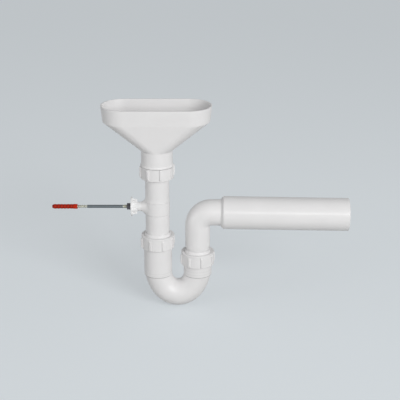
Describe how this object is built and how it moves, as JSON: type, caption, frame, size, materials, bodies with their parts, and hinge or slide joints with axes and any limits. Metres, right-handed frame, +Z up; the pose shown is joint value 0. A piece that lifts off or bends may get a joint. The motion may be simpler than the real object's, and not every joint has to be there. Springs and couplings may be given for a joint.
{
  "type": "washing machine standpipe trap",
  "caption": "White plastic standpipe trap with an oval funnel, a U-bend held by ribbed coupling nuts, an elbow with a wide outlet spigot, and a wall bracket on a hanger bolt with a plug.",
  "frame": {"origin": "on the wall's face, on the axis of the hanger bolt, where the plug's mouth is flush with the wall", "axes": "+X leaves the wall along the bolt, towards the outlet; +Z is up along the standpipe; Y is across"},
  "size_m": [0.4941, 0.078, 0.3525],
  "materials": {
    "white_polypropylene": "moulded, semi-gloss",
    "bracket_plastic": "moulded, semi-gloss",
    "seal_rubber": "matt",
    "brass": "turned",
    "zinc_steel": "rolled, zinc plated, dulled",
    "red_nylon": "moulded, semi-gloss"
  },
  "bodies": {
    "root": {"funnel": "white_polypropylene", "funnel_nut": "white_polypropylene", "inlet_pipe": "white_polypropylene", "inlet_nut": "white_polypropylene", "trap_bend": "white_polypropylene", "outlet_nut": "white_polypropylene", "outlet_elbow": "white_polypropylene", "funnel_seal": "seal_rubber", "inlet_seal": "seal_rubber", "outlet_seal": "seal_rubber", "wall_bracket": "bracket_plastic", "bracket_insert": "brass", "washer": "zinc_steel", "lock_nut": "zinc_steel", "hanger_bolt": "zinc_steel", "wall_plug": "red_nylon"}
  },
  "joints": []
}
